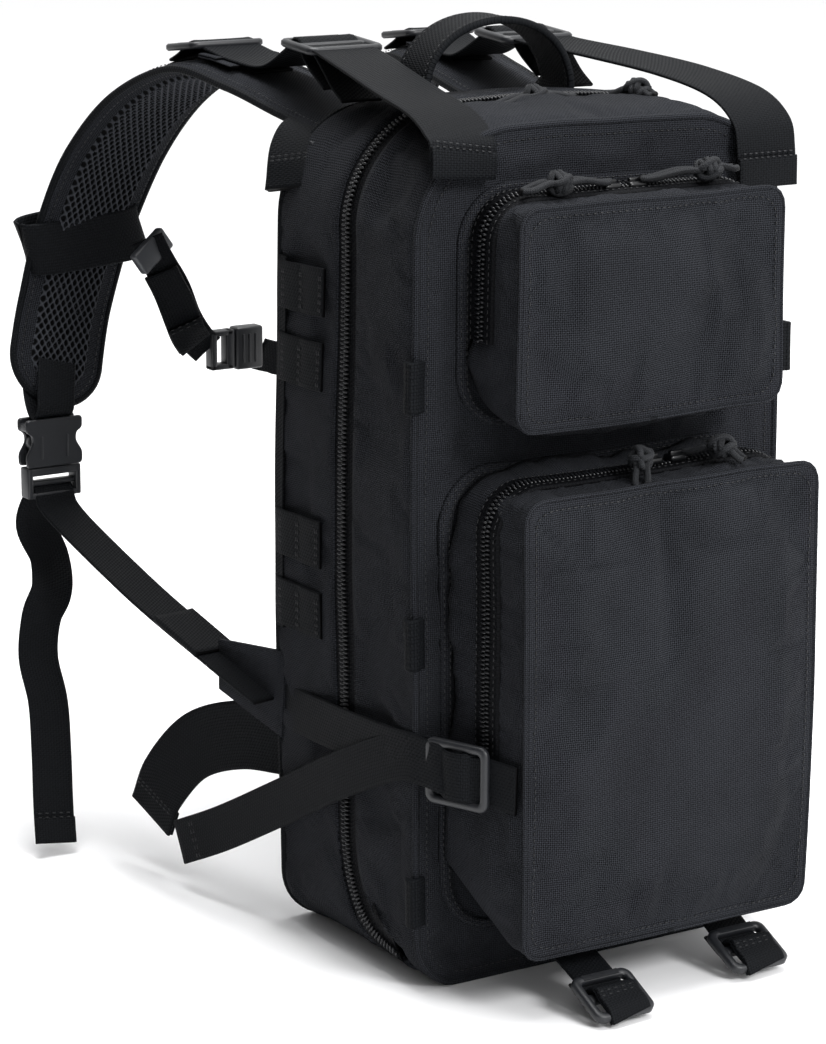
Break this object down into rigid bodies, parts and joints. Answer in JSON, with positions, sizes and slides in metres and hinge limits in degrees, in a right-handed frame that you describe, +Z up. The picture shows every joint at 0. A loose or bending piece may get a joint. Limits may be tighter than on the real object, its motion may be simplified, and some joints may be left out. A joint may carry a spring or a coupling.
{
  "type": "trauma backpack",
  "caption": "Compact clamshell trauma backpack with two front pockets, padded shoulder straps, compression webbing, side webbing rows and knotted cord zip pulls.",
  "frame": {"origin": "centre of the main body's base, on the ground", "axes": "+X to the right of someone facing the pockets, -Y towards the pockets, +Y towards the wearer's back, +Z up"},
  "size_m": [0.359, 0.4827, 0.4845],
  "materials": {
    "pack_fabric": "woven coated polyester, matt",
    "lining": "brushed loop lining, matt",
    "strap_pad": "foam pad faced with spacer mesh, matt",
    "spacer_mesh": "open spacer mesh, matt",
    "webbing": "ribbed woven webbing, satin",
    "buckle_plastic": "moulded acetal, satin",
    "zip_coil": "moulded coil, satin",
    "slider_metal": "painted zinc, satin",
    "pull_cord": "braided nylon cord, matt",
    "frame_sheet": "polyethylene sheet, satin"
  },
  "bodies": {
    "pack": {"rear_gusset": "pack_fabric", "back_panel": "pack_fabric", "frame_sheet": "frame_sheet", "loop_panel": "lining", "rear_zip_chain": "zip_coil", "back_pad_upper": "spacer_mesh", "back_pad_lower": "spacer_mesh", "sternum_strap_left": "webbing", "sternum_strap_right": "webbing", "sternum_buckle_female": "buckle_plastic", "left_shoulder_strap": "strap_pad", "left_lifter_tail": "webbing", "left_buckle_female": "buckle_plastic", "left_lower_webbing": "webbing", "left_lower_tail": "webbing", "left_molle": "webbing", "left_compression_strap": "webbing", "left_waist_belt": "webbing", "right_shoulder_strap": "strap_pad", "right_lifter_tail": "webbing", "right_buckle_female": "buckle_plastic", "right_lower_webbing": "webbing", "right_lower_tail": "webbing", "right_molle": "webbing", "right_compression_strap": "webbing", "right_waist_belt": "webbing"},
    "lid": {"front_gusset": "pack_fabric", "front_panel": "pack_fabric", "front_zip_chain": "zip_coil", "lid_mesh_pocket": "spacer_mesh", "upper_pocket_tub": "pack_fabric", "lower_pocket_tub": "pack_fabric", "left_bottom_strap": "webbing", "right_bottom_strap": "webbing"},
    "upper_flap": {"upper_pocket_flap": "pack_fabric"},
    "lower_flap": {"lower_pocket_flap": "pack_fabric"},
    "handle": {"haul_handle": "webbing"},
    "sternum_male": {"sternum_buckle_male": "buckle_plastic"},
    "left_male": {"left_buckle_male": "buckle_plastic"},
    "left_lifter_lock": {"left_lifter_lock": "buckle_plastic"},
    "left_strap_lock": {"left_strap_lock": "buckle_plastic"},
    "left_compression_lock": {"left_compression_lock": "buckle_plastic"},
    "left_bottom_lock": {"left_bottom_lock": "buckle_plastic"},
    "right_male": {"right_buckle_male": "buckle_plastic"},
    "right_lifter_lock": {"right_lifter_lock": "buckle_plastic"},
    "right_strap_lock": {"right_strap_lock": "buckle_plastic"},
    "right_compression_lock": {"right_compression_lock": "buckle_plastic"},
    "right_bottom_lock": {"right_bottom_lock": "buckle_plastic"},
    "main_left_slider": {"main_left_slider": "slider_metal"},
    "main_left_pull": {"main_left_pull": "pull_cord"},
    "main_right_slider": {"main_right_slider": "slider_metal"},
    "main_right_pull": {"main_right_pull": "pull_cord"},
    "upper_left_slider": {"upper_left_slider": "slider_metal"},
    "upper_left_pull": {"upper_left_pull": "pull_cord"},
    "upper_right_slider": {"upper_right_slider": "slider_metal"},
    "upper_right_pull": {"upper_right_pull": "pull_cord"},
    "lower_left_slider": {"lower_left_slider": "slider_metal"},
    "lower_left_pull": {"lower_left_pull": "pull_cord"},
    "lower_right_slider": {"lower_right_slider": "slider_metal"},
    "lower_right_pull": {"lower_right_pull": "pull_cord"}
  },
  "joints": [
    {"name": "main_open", "type": "hinge", "parent": "pack", "child": "lid", "pos_m": [0, -0.06215, 0], "axis": [1, 0, 0], "range_deg": [0, 90], "deforming": ["left_lifter_tail", "right_lifter_tail"]},
    {"name": "upper_pocket_open", "type": "hinge", "parent": "lid", "child": "upper_flap", "pos_m": [0, -0.11, 0.333], "axis": [1, 0, 0], "range_deg": [0, 100]},
    {"name": "lower_pocket_open", "type": "hinge", "parent": "lid", "child": "lower_flap", "pos_m": [0, -0.131, 0.11], "axis": [1, 0, 0], "range_deg": [0, 100]},
    {"name": "haul_handle_tilt", "type": "hinge", "parent": "pack", "child": "handle", "pos_m": [0, 0.057, 0.4365], "axis": [-1, 0, 0], "range_deg": [0, 35]},
    {"name": "left_lifter_lock_tilt", "type": "hinge", "parent": "pack", "child": "left_lifter_lock", "pos_m": [-0.061, 0.113, 0.467], "axis": [-1, 0, 0], "range_deg": [0, 40]},
    {"name": "left_strap_lock_tilt", "type": "hinge", "parent": "pack", "child": "left_strap_lock", "pos_m": [-0.07, 0.188, 0.4575], "axis": [1, 0, 0], "range_deg": [0, 40]},
    {"name": "left_compression_lock_swing", "type": "hinge", "parent": "lid", "child": "left_compression_lock", "pos_m": [-0.0973, -0.1108, 0.123], "axis": [0, 0, 1], "range_deg": [0, 40]},
    {"name": "left_bottom_lock_tilt", "type": "hinge", "parent": "lid", "child": "left_bottom_lock", "pos_m": [-0.044, -0.131, 0.0175], "axis": [-1, 0, 0], "range_deg": [0, 40]},
    {"name": "left_buckle_release", "type": "slide", "parent": "pack", "child": "left_male", "axis": [0, 0, -1], "range_m": [0, 0.03], "deforming": ["left_lower_webbing", "left_lower_tail"]},
    {"name": "right_lifter_lock_tilt", "type": "hinge", "parent": "pack", "child": "right_lifter_lock", "pos_m": [0.061, 0.113, 0.467], "axis": [-1, 0, 0], "range_deg": [0, 40]},
    {"name": "right_strap_lock_tilt", "type": "hinge", "parent": "pack", "child": "right_strap_lock", "pos_m": [0.07, 0.188, 0.4575], "axis": [1, 0, 0], "range_deg": [0, 40]},
    {"name": "right_compression_lock_swing", "type": "hinge", "parent": "lid", "child": "right_compression_lock", "pos_m": [0.0973, -0.1108, 0.123], "axis": [0, 0, -1], "range_deg": [0, 40]},
    {"name": "right_bottom_lock_tilt", "type": "hinge", "parent": "lid", "child": "right_bottom_lock", "pos_m": [0.054, -0.115, 0.0185], "axis": [-1, 0, 0], "range_deg": [0, 40]},
    {"name": "right_buckle_release", "type": "slide", "parent": "pack", "child": "right_male", "axis": [0, 0, -1], "range_m": [0, 0.03], "deforming": ["right_lower_webbing", "right_lower_tail"]},
    {"name": "sternum_buckle_release", "type": "slide", "parent": "pack", "child": "sternum_male", "axis": [-1, 0, 0], "range_m": [0, 0.02], "deforming": ["sternum_strap_left"]},
    {"name": "main_left_slider_run", "type": "slide", "parent": "pack", "child": "main_left_slider", "axis": [1, 0, 0], "range_m": [-0.075, 0]},
    {"name": "main_left_pull_lift", "type": "hinge", "parent": "main_left_slider", "child": "main_left_pull", "pos_m": [0.0188, -0.003, 0.442], "axis": [0, 1, 0], "range_deg": [0, 100]},
    {"name": "main_right_slider_run", "type": "slide", "parent": "pack", "child": "main_right_slider", "axis": [1, 0, 0], "range_m": [0, 0.013]},
    {"name": "main_right_pull_lift", "type": "hinge", "parent": "main_right_slider", "child": "main_right_pull", "pos_m": [0.0532, -0.003, 0.442], "axis": [0, -1, 0], "range_deg": [0, 100]},
    {"name": "upper_left_slider_run", "type": "slide", "parent": "lid", "child": "upper_left_slider", "axis": [1, 0, 0], "range_m": [-0.05, 0]},
    {"name": "upper_left_pull_lift", "type": "hinge", "parent": "upper_left_slider", "child": "upper_left_pull", "pos_m": [-0.0152, -0.082, 0.4108], "axis": [0, 1, 0], "range_deg": [0, 100]},
    {"name": "upper_right_slider_run", "type": "slide", "parent": "lid", "child": "upper_right_slider", "axis": [1, 0, 0], "range_m": [0, 0.04]},
    {"name": "upper_right_pull_lift", "type": "hinge", "parent": "upper_right_slider", "child": "upper_right_pull", "pos_m": [0.0182, -0.082, 0.4108], "axis": [0, -1, 0], "range_deg": [0, 100]},
    {"name": "lower_left_slider_run", "type": "slide", "parent": "lid", "child": "lower_left_slider", "axis": [1, 0, 0], "range_m": [-0.065, 0]},
    {"name": "lower_left_pull_lift", "type": "hinge", "parent": "lower_left_slider", "child": "lower_left_pull", "pos_m": [-0.0012, -0.103, 0.2732], "axis": [-0.7768, 0.6298, 0], "range_deg": [0, 40]},
    {"name": "lower_right_slider_run", "type": "slide", "parent": "lid", "child": "lower_right_slider", "axis": [1, 0, 0], "range_m": [0, 0.035]},
    {"name": "lower_right_pull_lift", "type": "hinge", "parent": "lower_right_slider", "child": "lower_right_pull", "pos_m": [0.0322, -0.103, 0.2732], "axis": [-0.8504, -0.5262, 0], "range_deg": [0, 40]}
  ]
}
